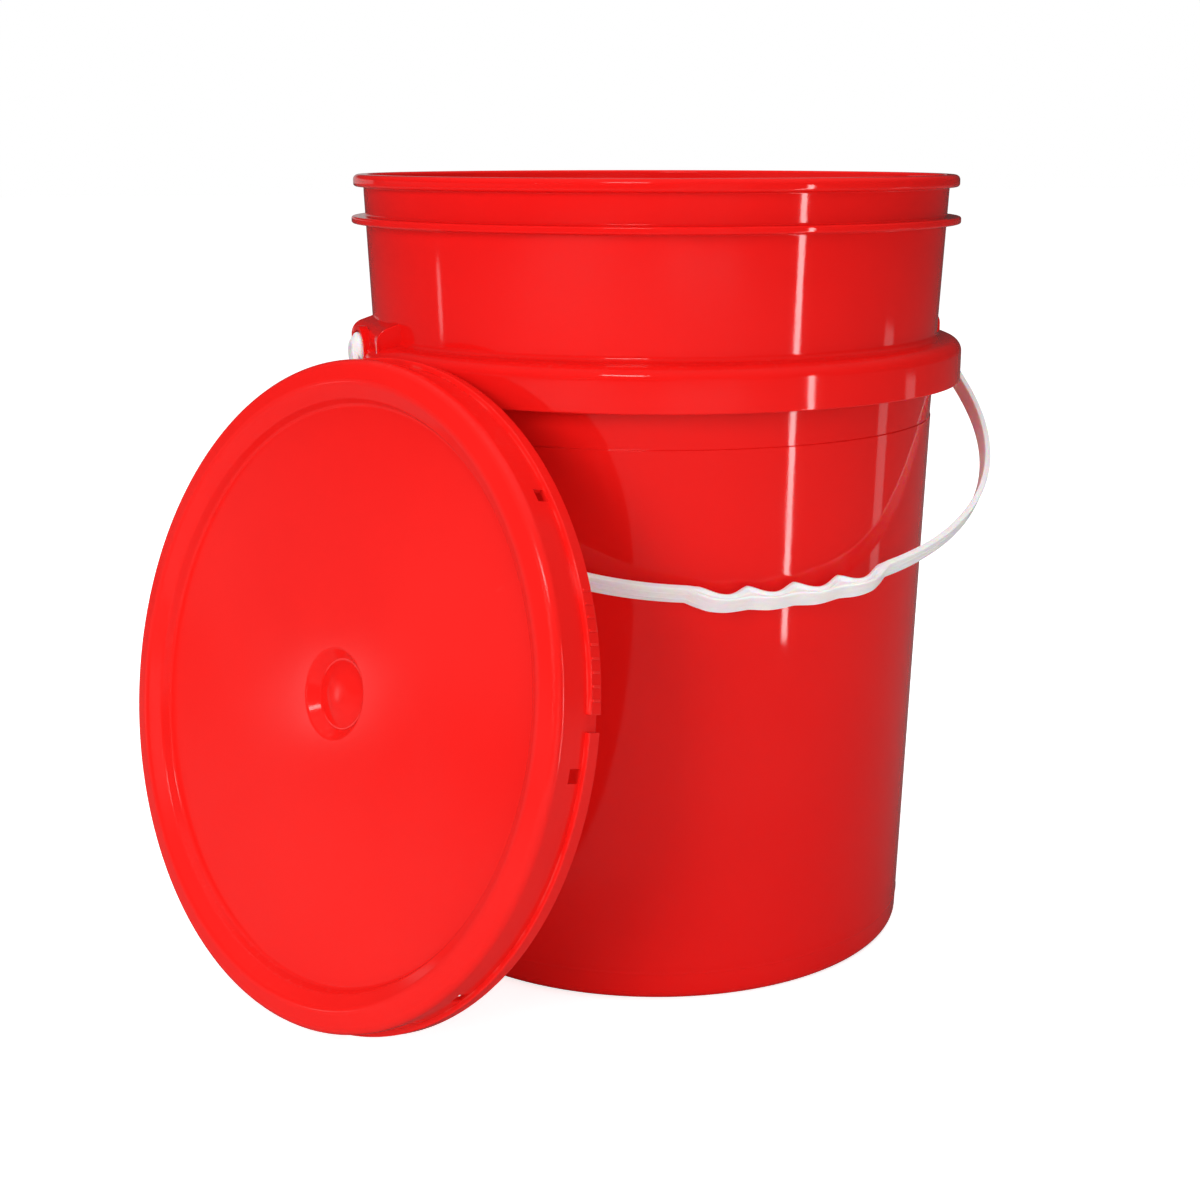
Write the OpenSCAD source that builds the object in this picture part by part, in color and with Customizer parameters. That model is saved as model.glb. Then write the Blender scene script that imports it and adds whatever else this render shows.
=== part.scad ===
// Utility pail with a press-on lid, leaning beside it, and a swinging plastic bail.
// Origin: centre of the foot on the floor. +Z is up, the bail's pivots lie along X, and the bail
// hangs on the -Y side. All sizes are in millimetres and degrees.

/* [Pail] */
// Height from the floor to the top of the rim
pail_h = 387.7; // [340:0.1:470]
// Outer radius of the bead round the rim
rim_r = 151; // [125:0.1:182]
// How far the rim bead stands out from the wall
bead_lip = 4.9; // [3:0.1:6]
// Height of the rim bead
bead_h = 5.9; // [4.5:0.1:8]
// Thickness of the wall
wall_t = 2.2; // [1.6:0.1:2.8]
// Thickness of the base
base_t = 2.4; // [1.8:0.1:4]
// Height of the base above the floor, inside the foot ring
base_rise = 3.2; // [2:0.1:6]
// Width of the foot ring's resting face
foot_w = 7; // [4:0.1:12]
// Radius of the rounding outside the foot
foot_round = 5; // [3:0.1:7]
// Gain in radius from the floor to the step line
lower_taper = 8.3; // [4:0.1:14]
// Gain in radius from the step line to the rim bead
upper_taper = 5; // [2:0.1:8]
// Distance of the step line below the rim
step_drop = 118.2; // [108:0.1:142]
// Depth of the step line
step_in = 0.4; // [0.2:0.1:0.8]

/* [Stop rib] */
// Distance of the rib's top below the rim
rib_drop = 20.1; // [14:0.1:24]
// Height of the rib
rib_h = 3.4; // [2:0.1:5]
// How far the rib stands out past the rim bead
rib_out = 1.3; // [0.5:0.1:2]

/* [Collar] */
// How far the collar stands out past the rim bead
collar_out = 4.3; // [3.2:0.1:8]
// Distance of the collar's ledge below the rim
collar_drop = 78.4; // [62:0.1:94]
// Height of the collar
collar_h = 21.8; // [18:0.1:26]
// Thickness of the collar's skin
collar_t = 2.2; // [1.6:0.1:2.8]
// Fall of the ledge from the wall to the collar's edge
ledge_fall = 1.9; // [1:0.1:4]
// Radius of the fillet between the ledge and the wall
ledge_fillet = 2.6; // [1:0.1:4]
// Radius of the rounding at the collar's top edge
collar_round = 6.5; // [4:0.1:8]
// Number of gussets, at an even spacing, under the collar
gusset_n = 36; // [12:4:44]
// Thickness of a gusset
gusset_t = 1.6; // [1:0.1:2.2]

/* [Ears] */
// Width of each ear block
ear_w = 54; // [46:0.5:62]
// Thickness of the ear's walls
ear_t = 2.2; // [1.6:0.1:2.8]
// Distance of the ear block's face behind the collar's outer radius
ear_back = 3.3; // [2.8:0.1:4.5]
// Distance of the hood's end behind the collar's outer radius
hood_back = 0.3; // [0.2:0.1:0.6]
// Thickness of the arched hood
hood_t = 2.2; // [1.6:0.1:3.4]
// Distance of the ear block's top edge below the hood's top
ear_drop = 1; // [0.5:0.1:2]
// Rise of the ear block's top from its face to its root inside the wall
ear_rise = 6.2; // [2:0.1:11]
// Distance of the pivot below the rim
pivot_drop = 83.7; // [72:0.1:96]
// Radius of the bore for the bail's stud
bore_r = 5; // [4:0.1:6]
// Radius of the rounding on the block's upright edges
ear_round = 2.6; // [1.5:0.1:5]
// Radius of the rounding along the block's top edge
ear_brow = 5; // [3:0.1:6]

/* [Bail] */
// Width of the strap
strap_w = 9.2; // [7:0.1:11.5]
// Thickness of the strap
strap_t = 3; // [2.4:0.1:3.8]
// Gap between the strap and the collar at the pivot
strap_gap = 0.5; // [0.3:0.1:1]
// How far the strap bows out beyond its place at the pivot
strap_bow = 2.8; // [1:0.1:4]
// Distance from the pivot to the widest place of the hoop
bow_at = 44; // [36:0.5:54]
// Power of the hoop's curve, where 2 is an ellipse
hoop_power = 2.22; // [2:0.01:2.6]
// Radius of the round eye at each end
eye_r = 9.5; // [8:0.1:11.5]
// Gap round the eye inside its hood
eye_gap = 0.9; // [0.6:0.1:1.5]
// Gap between the eye and the ear's face
face_gap = 0.3; // [0.2:0.05:0.6]
// Radial clearance of the stud in its bore
stud_gap = 0.05; // [0.03:0.01:0.1]
// How far the stud's head overhangs the bore
head_out = 1.2; // [0.8:0.1:2]
// Thickness of the stud's head
head_t = 3.5; // [2.5:0.1:4.5]

/* [Grip] */
// Length of the grip
grip_l = 104; // [98:1:124]
// Distance of the grip's middle from the hoop's middle, towards +X
grip_aside = 11; // [0:0.5:14]
// Pitch of the finger recesses
finger_pitch = 23.2; // [20:0.1:24]
// Depth of the finger recesses
finger_d = 4.8; // [3.6:0.1:5.8]
// Depth of the grip at a crest
grip_d = 7.9; // [7:0.1:9.5]
// How much deeper the grip is behind each finger
swell = 1.2; // [0.6:0.1:1.6]
// Width of the lip that the fingers hold
lip_w = 10; // [8.6:0.1:12]
// Depth of the lip
lip_d = 3.4; // [2.8:0.1:4]
// Depth of the lip's narrowed, rounded edge
lip_edge = 1.5; // [1.2:0.1:1.8]
// Width of the lip at its edge
lip_edge_w = 6; // [5:0.1:7]
// Thickness of the web between the lip and the outer flange
web_w = 7.4; // [6:0.1:8.4]
// Thickness of the outer flange
flange_t = 1.8; // [1.5:0.1:2.1]
// Gap between the grip and the rim as the bail swings past it
swing_gap = 1; // [0.6:0.1:3]
// Gap between the hanging grip and the wall
rest_gap = 0.4; // [0.3:0.1:1.5]

/* [Lid] */
// Gap between the lid's skirt and the rim bead
lid_gap = 1; // [0.8:0.1:1.6]
// Thickness of the lid
lid_t = 2; // [1.5:0.1:2.5]
// Depth of the lid's outer skirt
lid_h = 24; // [21:0.1:28]
// Depth of the flat panel below the crown
panel_drop = 9; // [7:0.1:11]
// Width of the crown, from the skirt to the foot of its inner slope
crown_w = 20.2; // [18:0.1:24]
// Width of the crown's inner slope
slope_w = 9; // [7:0.1:11]
// Thickness of the crown over the channel
roof_t = 3; // [2.4:0.1:3.4]
// Radius of the round dimple at the lid's centre
dimple_r = 21; // [18:0.1:24]
// Depth of the dimple
dimple_d = 4.8; // [3:0.1:6]
// Width of the dimple's sloping side
dimple_side = 4.5; // [3.5:0.1:6]
// Radius of the low dome inside the dimple
dome_r = 15.4; // [10:0.1:16]
// Height of the low dome
dome_h = 2.6; // [1.5:0.1:3]
// Number of windows, each with a catch above it
window_n = 8; // [4:1:12]
// Width of a window
window_w = 6.3; // [4:0.1:9]
// Angle of the first window, from the lid's lowest point
window_from = 44.2; // [20:0.1:60]
// Distance of the windows' top below the crown
window_drop = 11.5; // [10.6:0.1:13]
// How far a catch stands in from the skirt
catch_in = 2.2; // [1.4:0.1:3]

/* [Tear band] */
// Thickness of the tear band's outer wall
band_t = 1.8; // [1.4:0.1:2.4]
// How far the band stands out past the skirt
band_out = 2.4; // [2.2:0.1:3.4]
// Height of the band
band_h = 6.2; // [5:0.1:7]
// Thickness of the web that holds the band to the skirt
bridge_t = 1.2; // [0.8:0.1:1.6]
// Width of the gap where the band is torn open
notch_w = 7.3; // [5:0.1:10]
// Angle of the gap, from the lid's lowest point
notch_at = 97.3; // [93:0.1:99]
// Number of grip ridges on the pull tab
ridge_n = 9; // [5:1:12]
// Angle between grip ridges
ridge_pitch = 2.1; // [1.8:0.1:2.6]
// Height of a grip ridge
ridge_out = 0.5; // [0.3:0.1:0.8]
// Width of a grip ridge
ridge_w = 1.2; // [0.8:0.1:1.8]

/* [Gasket] */
// Width of the sealing ring
gasket_w = 4; // [3:0.1:5]
// Height of the sealing ring before the lid is pressed on
gasket_h = 2.4; // [1.6:0.1:3]

/* [Leaning lid] */
// Angle of the lid's face above the horizontal
lid_lean = 12.3; // [9:0.1:16]
// Direction that the lid faces, round Z from +X
lid_bearing = -155.4; // [-158:0.1:-152]
// How far the lid's centre lies to the side of the pail's centre line
lid_aside = -8.7; // [-12:0.1:-4]
// Gap between the lid and the collar that it leans on
lean_gap = 0.5; // [0.3:0.1:1]

/* [Hidden] */
$fn = 96;
eps = 1;
red = [0.88, 0.07, 0.06];
white = [0.93, 0.95, 0.96];
grey = [0.55, 0.56, 0.58];

// Pail: radii and heights of the wall
mouth_r = rim_r - bead_lip;
neck_r = mouth_r - upper_taper;
waist_r = neck_r + step_in;
foot_r = waist_r - lower_taper;
bead_z = pail_h - bead_h;
step_z = pail_h - step_drop;
floor_z = base_rise + base_t;
foot_in_r = foot_r - foot_round - foot_w;
lower_slope = lower_taper / step_z;
upper_slope = upper_taper / (bead_z - step_z);
function wall_r(z) = z < step_z ? foot_r + lower_slope * z : neck_r + upper_slope * (z - step_z);

// Stop rib and collar
rib_z = pail_h - rib_drop;
rib_r = rim_r + rib_out;
collar_r = rim_r + collar_out;
ledge_z = pail_h - collar_drop;
skirt_z = ledge_z - collar_h;
under_z = ledge_z - collar_t;

// Ears
pivot_z = pail_h - pivot_drop;
ear_x = collar_r - ear_back;
hood_x = collar_r - hood_back;
hood_in_r = eye_r + eye_gap;
hood_r = hood_in_r + hood_t;
ear_top = pivot_z + hood_r - ear_drop;

// Bail: the hoop lies in its own plane, x across the pail and s away from the pivots
strap_in = collar_r + strap_gap;
hoop_x0 = strap_in + strap_t / 2;
hoop_x = hoop_x0 + strap_bow;
rim_reach = sqrt(rim_r * rim_r + pivot_drop * pivot_drop);
hoop_s = rim_reach + swing_gap + strap_t / 2;
// Angle below the horizontal at which the grip's lower inner corner meets the wall
corner_s = rim_reach + swing_gap;
hang_a = corner_s + lower_slope * strap_w / 2;
hang_b = lower_slope * corner_s - strap_w / 2;
hang_c = foot_r + lower_slope * pivot_z + rest_gap;
hang = atan2(hang_b, hang_a) + acos(hang_c / sqrt(hang_a * hang_a + hang_b * hang_b));

// Lid: radii outwards and heights down from the crown
lid_in_r = rim_r + lid_gap;
lid_r = lid_in_r + lid_t;
crown_fall = 1.6;
well_r = lid_r - crown_w;
slope_r = well_r + slope_w;
under_panel = -panel_drop - lid_t;
channel_r = slope_r - 1;
window_top = -window_drop;
band_r = lid_r + band_out;
band_top = -(lid_h - band_h);
catch_h = 2.4;
catch_z = window_top + 0.6;
gasket_r = (rim_r + mouth_r - wall_t) / 2;

// Leaning lid: it stands on the lowest point of its band and rests against the collar
lean_r = collar_r + lean_gap + band_r * sin(lid_lean) + lid_h * cos(lid_lean);
lean_z = band_r * cos(lid_lean) + lid_h * sin(lid_lean);

// Points of a corner of an outline, rounded with an arc of radius r
function unit(v) = v / norm(v);
function arc_steps(r) = r > 3 ? 6 : 3;
function corner(a, p, b, r) =
    r == 0 ? [p] :
    let (u = unit(a - p), v = unit(b - p), half = acos(u * v) / 2,
         reach = r / tan(half), c = p + unit(u + v) * r / sin(half),
         from = p + u * reach - c, to = p + v * reach - c,
         turn = cross(from, to) > 0 ? 180 - 2 * half : 2 * half - 180, n = arc_steps(r))
    [for (i = [0 : n]) let (t = turn * i / n)
        c + [from.x * cos(t) - from.y * sin(t), from.x * sin(t) + from.y * cos(t)]];
function xy(p) = [p.x, p.y];
// Outline through points [x, y, radius], each corner rounded
function rounded(pts) =
    let (n = len(pts))
    [for (i = [0 : n - 1])
        each corner(xy(pts[(i + n - 1) % n]), xy(pts[i]), xy(pts[(i + 1) % n]), pts[i].z)];

module pail_wall() {
    rotate_extrude()
        polygon(rounded([
            [0, base_rise, 0], [foot_in_r, base_rise, 0.8], [foot_in_r, 0, 0.8],
            [foot_r, 0, foot_round],
            [waist_r, step_z, 0], [neck_r, step_z + step_in, 0],
            [wall_r(skirt_z), skirt_z, 0],
            [wall_r(under_z), under_z, 1],
            [collar_r - collar_t, under_z - ledge_fall, collar_round - collar_t],
            [collar_r - collar_t, skirt_z, 0.6], [collar_r, skirt_z, 0.6],
            [collar_r, ledge_z - ledge_fall, collar_round],
            [wall_r(ledge_z), ledge_z, ledge_fillet],
            [wall_r(rib_z - rib_h), rib_z - rib_h, 0.6],
            [rib_r, rib_z - rib_h, 1], [rib_r, rib_z, 1],
            [wall_r(rib_z), rib_z, 0.6],
            [mouth_r, bead_z, 0.8],
            [rim_r, bead_z, 1.6], [rim_r, pail_h, 2.6],
            [mouth_r - wall_t, pail_h, 1.6],
            [neck_r - wall_t, step_z, 0],
            [wall_r(floor_z) - wall_t, floor_z, foot_round - wall_t / 2],
            [0, floor_z, 0]
        ]));
}

// Cone inside the middle of the wall, from below the foot to above the rim
module core(inset) {
    rotate_extrude()
        polygon([[0, -eps], [foot_r - inset, -eps], [waist_r - inset, step_z],
                 [mouth_r - inset, bead_z], [0, bead_z]]);
}

module gussets() {
    step = 360 / gusset_n;
    depth = collar_r - collar_t / 2;
    clear = asin(ear_w / 2 / collar_r) + 1;
    for (i = [0 : gusset_n - 1]) {
        a = i * step;
        from_ear = min(abs(a), abs(a - 180), abs(a - 360));
        if (from_ear > clear)
            rotate([0, 0, a])
                rotate([90, 0, 0])
                    linear_extrude(height = gusset_t, center = true)
                        polygon([[neck_r - wall_t / 2, skirt_z + 1], [depth, skirt_z + 1],
                                 [depth, under_z - ledge_fall - collar_round / 2],
                                 [neck_r + 4, under_z + collar_t / 2],
                                 [neck_r - wall_t / 2, under_z + collar_t / 2]]);
    }
}

// Block of an ear on the +X side, made smaller all round by inset
module ear_block(inset) {
    half = ear_w / 2 - inset;
    face = ear_x - inset;
    top = ear_top - inset;
    foot = skirt_z - (inset > 0 ? eps : 0);
    intersection() {
        rotate([90, 0, 0])
            linear_extrude(height = 2 * half, center = true)
                polygon(rounded([[neck_r - 8, foot, 0], [face, foot, 0], [face, top, ear_brow],
                                 [neck_r - 8, top + ear_rise, 0]]));
        translate([0, 0, foot - eps])
            linear_extrude(height = top + 2 * ear_rise - foot + 2 * eps)
                polygon(rounded([[neck_r - 9, -half, 0], [face + 0.01, -half, ear_round - inset / 2],
                                 [face + 0.01, half, ear_round - inset / 2], [neck_r - 9, half, 0]]));
    }
}

// Arch about the pivot with straight sides down to the collar's lower edge
module arch(r, x0, x1, foot) {
    translate([x0, 0, pivot_z])
        rotate([0, 90, 0])
            cylinder(r = r, h = x1 - x0);
    translate([x0, -r, foot])
        cube([x1 - x0, 2 * r, pivot_z - foot]);
}

// Both ears are alike: places its children at +X and, turned round, at -X
module both_sides() {
    for (a = [0, 180])
        rotate([0, 0, a])
            children();
}

module pail() {
    color(red)
        difference() {
            union() {
                pail_wall();
                gussets();
                difference() {
                    both_sides() {
                        ear_block(0);
                        arch(hood_r, ear_x - ear_t / 2, hood_x, skirt_z);
                    }
                    core(wall_t / 2);
                }
            }
            difference() {
                both_sides()
                    ear_block(ear_t);
                core(-0.01);
            }
            both_sides() {
                arch(hood_in_r, ear_x, collar_r + eps, skirt_z - eps);
                translate([ear_x - ear_t - eps, 0, pivot_z])
                    rotate([0, 90, 0])
                        cylinder(r = bore_r, h = ear_t + 2 * eps);
            }
        }
}

// Hoop: distance from the pivots at x, on the curved part below the widest place
function hoop_at(x) =
    bow_at + (hoop_s - bow_at) * pow(1 - pow(min(abs(x) / hoop_x, 1), hoop_power), 1 / hoop_power);
leg_steps = 5;
arc_n = 26;
// Half of the hoop's centre line, from the pivot to the middle
half_hoop = [
    for (i = [0 : leg_steps - 1]) let (f = 1 - i / leg_steps) [hoop_x - strap_bow * f * f, bow_at * (1 - f)],
    for (i = [0 : arc_n]) let (x = hoop_x * cos(90 * i / arc_n)) [x, hoop_at(x)]
];
function along(line, i) = unit(line[min(i + 1, len(line) - 1)] - line[max(i - 1, 0)]);
// The line moved sideways by d, to its right as it runs
function beside(line, d) = [for (i = [0 : len(line) - 1]) let (t = along(line, i)) line[i] + d * [t.y, -t.x]];
function reversed(line) = [for (i = [len(line) - 1 : -1 : 0]) line[i]];

module half_strap() {
    outer = beside(half_hoop, strap_t / 2);
    inner = beside(half_hoop, -strap_t / 2);
    linear_extrude(height = strap_w, center = true)
        polygon(concat(outer, reversed(inner)));
}

grip_half = grip_l / 2;
grip_steps = 52;
grip_xs = [for (i = [0 : grip_steps]) grip_aside + grip_half * (2 * i / grip_steps - 1)];
// The grip's outer side rises from the strap over this length at each end
grip_rise = 11;
function rise(x) = min(1, (grip_half - abs(x - grip_aside)) / grip_rise);
// 0 on a crest and at the grip's ends, and 1 in the middle of each finger recess
function dip(x) =
    let (u = x - grip_aside) abs(u) > 2 * finger_pitch ? 0 : pow(abs(sin(180 * u / finger_pitch)), 1.4);
function grip_inner(x) = hoop_at(x) - strap_t / 2 + finger_d * dip(x);
function grip_outer(x) =
    hoop_at(x) + strap_t / 2 + (grip_d - strap_t + swell * dip(x)) * sin(90 * rise(x));

// Slice of the grip, w wide, between two outlines that run along it
module grip_slice(near, far, w) {
    linear_extrude(height = w, center = true)
        polygon(concat(near, reversed(far)));
}

module grip() {
    inner = [for (x = grip_xs) [x, grip_inner(x)]];
    outer = [for (x = grip_xs) [x, grip_outer(x)]];
    lip = [for (x = grip_xs) [x, min(grip_inner(x) + lip_d, grip_outer(x))]];
    shoulder = [for (x = grip_xs) [x, grip_inner(x) + lip_edge * (0.4 + 0.6 * rise(x))]];
    flange = [for (x = grip_xs) [x, grip_outer(x) - flange_t]];
    grip_slice(inner, lip, lip_edge_w);
    grip_slice(shoulder, lip, lip_w);
    grip_slice(inner, outer, min(web_w, lip_edge_w));
    grip_slice(shoulder, outer, web_w);
    grip_slice(flange, outer, strap_w);
}

// Round eye with a domed face, the stud in its bore and the head behind the ear's wall
module eye() {
    face_x = ear_x + face_gap;
    out_x = strap_in + strap_t;
    head_x = ear_x - ear_t - face_gap;
    rotate([0, 90, 0])
        rotate_extrude()
            polygon(rounded([[0, out_x, 0], [eye_r - 4, out_x, 2], [eye_r, strap_in, 1.5],
                             [eye_r, face_x, 0], [bore_r - stud_gap, face_x, 0],
                             [bore_r - stud_gap, head_x, 0], [bore_r + head_out, head_x, 0.5],
                             [bore_r, head_x - head_t, 0.8], [0, head_x - head_t, 0]]));
}

module bail_handle() {
    color(white)
        translate([0, 0, pivot_z])
            rotate([hang, 0, 0]) {
                mirror([0, 1, 0]) {
                    half_strap();
                    mirror([1, 0, 0])
                        half_strap();
                    grip();
                }
                both_sides()
                    eye();
            }
}

// Places its children, drawn with the lid's crown up at z = 0, where the lid leans
module leaning() {
    facing = [cos(lid_bearing), sin(lid_bearing)];
    side = [-sin(lid_bearing), cos(lid_bearing)];
    place = lean_r * facing + lid_aside * side;
    translate([place.x, place.y, lean_z])
        rotate([0, 90 - lid_lean, lid_bearing])
            children();
}

module lid_shell() {
    rotate_extrude()
        polygon(rounded([
            [0, dome_h - panel_drop - dimple_d, 0],
            [0.45 * dome_r, dome_h - panel_drop - dimple_d, 0.9 * dome_r],
            [dome_r, -panel_drop - dimple_d, 0.3],
            [dimple_r - dimple_side, -panel_drop - dimple_d, 0.3], [dimple_r, -panel_drop, 2],
            [well_r, -panel_drop, 2], [well_r + 2, -panel_drop / 2, 2.5], [slope_r, 0, 6],
            [lid_r - 0.2, -crown_fall, 4.5],
            [lid_r, band_top, 0], [lid_r, -lid_h, 0.5],
            [lid_in_r, -lid_h, 0.5], [lid_in_r, -roof_t, 1.2],
            [channel_r, -roof_t, 2], [well_r + 4, -panel_drop / 2 - lid_t, 2.5],
            [well_r + 2, under_panel, 2], [dimple_r + lid_t / 2, under_panel, 3],
            [dimple_r + lid_t / 2 - dimple_side, under_panel - dimple_d, 1],
            [0, under_panel - dimple_d, 0]
        ]));
}

// A radial block of the lid's skirt: from r0 to r1 and z0 to z1, w wide, at angle a
module block(a, r0, r1, z0, z1, w) {
    rotate([0, 0, a])
        translate([r0, -w / 2, z0])
            cube([r1 - r0, w, z1 - z0]);
}

module at_windows() {
    for (i = [0 : window_n - 1])
        rotate([0, 0, window_from + i * 360 / window_n])
            children();
}

module lid() {
    color(red)
        leaning()
            difference() {
                union() {
                    lid_shell();
                    at_windows()
                        block(0, lid_in_r - catch_in, lid_in_r + lid_t / 2, catch_z, catch_z + catch_h, window_w);
                }
                at_windows()
                    block(0, lid_in_r - eps, lid_r + eps, band_top + 0.4, window_top, window_w);
            }
}

module tear_band() {
    tab_from = notch_at + notch_w / 2 / band_r * 180 / PI + ridge_pitch;
    color(red)
        leaning()
            difference() {
                union() {
                    rotate_extrude()
                        polygon(rounded([[lid_r, band_top, 0], [band_r, band_top, 0.8],
                                         [band_r, -lid_h, 0.5], [band_r - band_t, -lid_h, 0.3],
                                         [band_r - band_t, band_top - bridge_t, 0.3],
                                         [lid_r, band_top - bridge_t, 0]]));
                    for (i = [0 : ridge_n - 1])
                        block(tab_from + i * ridge_pitch, band_r - band_t / 2, band_r + ridge_out,
                              1 - lid_h, band_top - 1, ridge_w);
                }
                block(notch_at, lid_r - eps, band_r + eps, -lid_h - eps, band_top + eps, notch_w);
            }
}

module lid_gasket() {
    color(grey)
        leaning()
            rotate_extrude()
                translate([gasket_r - gasket_w / 2, -roof_t - gasket_h])
                    square([gasket_w, gasket_h]);
}

pail();
bail_handle();
lid();
tear_band();
lid_gasket();
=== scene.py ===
"""Looks of a lidded utility pail: moulded body, swinging bail, and a press-on lid that leans on it.

Every piece is modelled here at its real place in the shared frame, in metres, and rides on the
body that carries it: the pail stays put, the bail swings, and the lid with its band and seal
moves away along the floor.
"""

import logging
import math
from collections.abc import Callable, Iterator, Sequence
from contextlib import contextmanager
from dataclasses import dataclass, field
from enum import Enum

import bpy
from mathutils import Matrix, Vector

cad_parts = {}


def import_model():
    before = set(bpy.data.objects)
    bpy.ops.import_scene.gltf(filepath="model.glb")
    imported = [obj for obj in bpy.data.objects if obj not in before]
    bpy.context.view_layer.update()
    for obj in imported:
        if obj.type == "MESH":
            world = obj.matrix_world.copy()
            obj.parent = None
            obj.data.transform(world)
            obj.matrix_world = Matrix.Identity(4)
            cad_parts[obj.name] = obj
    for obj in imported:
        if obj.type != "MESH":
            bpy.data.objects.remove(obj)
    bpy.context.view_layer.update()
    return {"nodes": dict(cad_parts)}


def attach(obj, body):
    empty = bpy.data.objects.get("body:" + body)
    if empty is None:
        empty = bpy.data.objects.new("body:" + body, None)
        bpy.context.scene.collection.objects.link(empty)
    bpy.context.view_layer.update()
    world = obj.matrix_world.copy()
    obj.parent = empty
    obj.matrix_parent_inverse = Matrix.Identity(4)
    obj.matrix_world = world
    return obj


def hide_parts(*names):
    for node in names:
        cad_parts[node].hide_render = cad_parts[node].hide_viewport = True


log = logging.getLogger("pail")

MM = 0.001
TINY = 1e-6
# How far a tool stands past the face that it cuts or joins
PAST = 1 * MM
SMOOTH_BELOW = math.radians(32)
ARC_STEP = math.radians(11)

Point = tuple[float, float]
Corner = tuple[float, float, float]


class Body(Enum):
    """Bodies of the frame that pieces ride on."""

    PAIL = "pail"
    BAIL = "handle"
    LID = "lid"


class Cut(Enum):
    """Ways to join one solid to another."""

    ADD = "UNION"
    TAKE = "DIFFERENCE"


# ---------------------------------------------------------------- moves shared by the pieces


def pick(obj: bpy.types.Object) -> bpy.types.Object:
    """Makes one object the only selected one.

    Args:
        obj: The object to select.

    Returns:
        The same object, now active.
    """
    bpy.ops.object.select_all(action="DESELECT")
    obj.select_set(True)
    bpy.context.view_layer.objects.active = obj
    return obj


@contextmanager
def editing(obj: bpy.types.Object) -> Iterator[bpy.types.Object]:
    """Opens one object in edit mode with nothing selected, and closes it again."""
    pick(obj)
    bpy.ops.object.mode_set(mode="EDIT")
    bpy.ops.mesh.select_mode(type="VERT")
    bpy.ops.mesh.select_all(action="DESELECT")
    yield obj
    bpy.ops.object.mode_set(mode="OBJECT")


def named(name: str) -> bpy.types.Object:
    """Names the active object and its mesh.

    Args:
        name: The piece's name.

    Returns:
        The active object.
    """
    obj = bpy.context.object
    obj.name = name
    obj.data.name = name
    return obj


def settle() -> None:
    """Puts the active object's place, turn and scale in its mesh."""
    bpy.ops.object.transform_apply(location=True, rotation=True, scale=True)


def choose(obj: bpy.types.Object, kind: str, test: Callable[[object], bool]) -> None:
    """Selects, in edit mode, what passes a test.

    Args:
        obj: The object that is open in edit mode.
        kind: Which of its mesh's lists to go through: vertices, edges or polygons.
        test: Says whether an item of that list is selected.
    """
    bpy.ops.object.mode_set(mode="OBJECT")
    for item in getattr(obj.data, kind):
        item.select = test(item)
    bpy.ops.object.mode_set(mode="EDIT")


def clean(obj: bpy.types.Object) -> bpy.types.Object:
    """Merges doubled points and turns every face outwards.

    Args:
        obj: A closed mesh.

    Returns:
        The same object.
    """
    with editing(obj):
        bpy.ops.mesh.select_all(action="SELECT")
        bpy.ops.mesh.remove_doubles(threshold=TINY)
        bpy.ops.mesh.normals_make_consistent(inside=False)
    return obj


def apply(obj: bpy.types.Object, kind: str, **values: object) -> bpy.types.Object:
    """Adds one modifier, sets it and applies it.

    Args:
        obj: The object to change.
        kind: The modifier's type.
        values: Its settings.

    Returns:
        The same object.
    """
    pick(obj)
    step = obj.modifiers.new(kind.lower(), kind)
    for key, value in values.items():
        setattr(step, key, value)
    bpy.ops.object.modifier_apply(modifier=step.name)
    return obj


def cut(obj: bpy.types.Object, how: Cut, tool: bpy.types.Object) -> bpy.types.Object:
    """Adds a solid to another or takes it away, and removes the tool.

    Args:
        obj: The solid that stays.
        how: Whether the tool is added or taken away.
        tool: The other solid.

    Returns:
        The first object.
    """
    apply(obj, "BOOLEAN", operation=how.value, object=tool, solver="EXACT")
    bpy.data.objects.remove(tool)
    return obj


def joined(parts: Sequence[bpy.types.Object]) -> bpy.types.Object:
    """Joins objects into the first of them.

    Args:
        parts: The objects, which don't touch each other.

    Returns:
        The first object.
    """
    pick(parts[0])
    for part in parts[1:]:
        part.select_set(True)
    bpy.ops.object.join()
    return bpy.context.object


def copied(obj: bpy.types.Object, angles: Sequence[float]) -> bpy.types.Object:
    """Copies a part round the Z axis, each copy with its own mesh, and joins the copies.

    Args:
        obj: The part, modelled at angle 0. It isn't kept.
        angles: The angles of the copies, in radians.

    Returns:
        One object that holds all the copies.
    """
    parts = []
    for angle in angles:
        part = obj.copy()
        part.data = obj.data.copy()
        part.data.transform(Matrix.Rotation(angle, 4, "Z"))
        bpy.context.scene.collection.objects.link(part)
        parts.append(part)
    bpy.data.objects.remove(obj)
    return joined(parts)


def placed(obj: bpy.types.Object, place: Matrix) -> bpy.types.Object:
    """Moves an object to its place and puts that place in its mesh.

    Args:
        obj: The object, modelled about the origin.
        place: Where it goes.

    Returns:
        The same object.
    """
    obj.matrix_world = place @ obj.matrix_world
    pick(obj)
    settle()
    return obj


def smooth(obj: bpy.types.Object) -> bpy.types.Object:
    """Shades a piece smooth up to the sharp-edge angle, with flat faces kept flat.

    Args:
        obj: A finished mesh.

    Returns:
        The same object.
    """
    pick(obj)
    bpy.ops.object.shade_smooth_by_angle(angle=SMOOTH_BELOW)
    return apply(obj, "WEIGHTED_NORMAL", keep_sharp=True, weight=50, thresh=0.01)


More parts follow.
